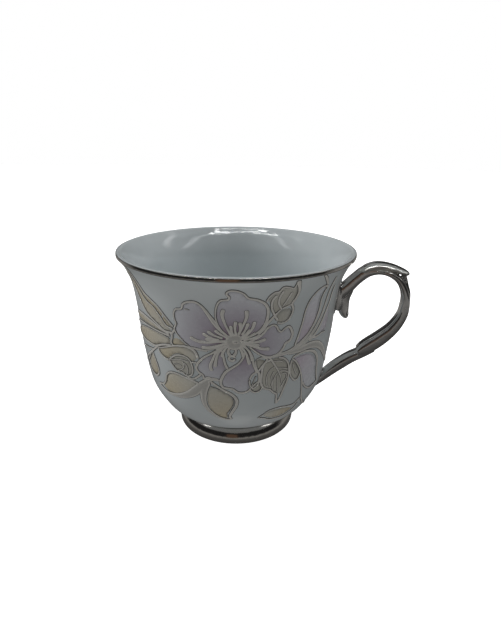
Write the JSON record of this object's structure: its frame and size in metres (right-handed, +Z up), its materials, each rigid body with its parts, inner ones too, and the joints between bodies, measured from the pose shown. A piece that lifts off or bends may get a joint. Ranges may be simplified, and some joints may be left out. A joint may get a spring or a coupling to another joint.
{
  "type": "teacup",
  "caption": "Footed porcelain teacup with a flared rim, a scroll handle, platinum bands and an enamelled flower spray.",
  "frame": {"origin": "centre of the foot ring's resting plane", "axes": "+Z up along the bowl's axis, +X towards the handle"},
  "size_m": [0.1117, 0.0904, 0.0735],
  "materials": {
    "porcelain": "clear gloss glaze over white porcelain",
    "slip": "fired slip under the glaze",
    "platinum": "bright platinum lustre fired on the glaze",
    "handle_lustre": "cast porcelain covered all over with bright platinum lustre",
    "metal_paste": "raised satin silver-grey line, printed on the glaze",
    "lilac_enamel": "thin lilac enamel on the glaze, fading outwards",
    "cream_enamel": "thin cream enamel on the glaze"
  },
  "bodies": {
    "root": {"bowl": "porcelain", "rim_band": "platinum", "foot_slip": "slip", "foot_ring": "porcelain", "foot_band": "platinum", "upper_slip": "handle_lustre", "lower_slip": "handle_lustre", "handle": "handle_lustre"}
  },
  "joints": []
}
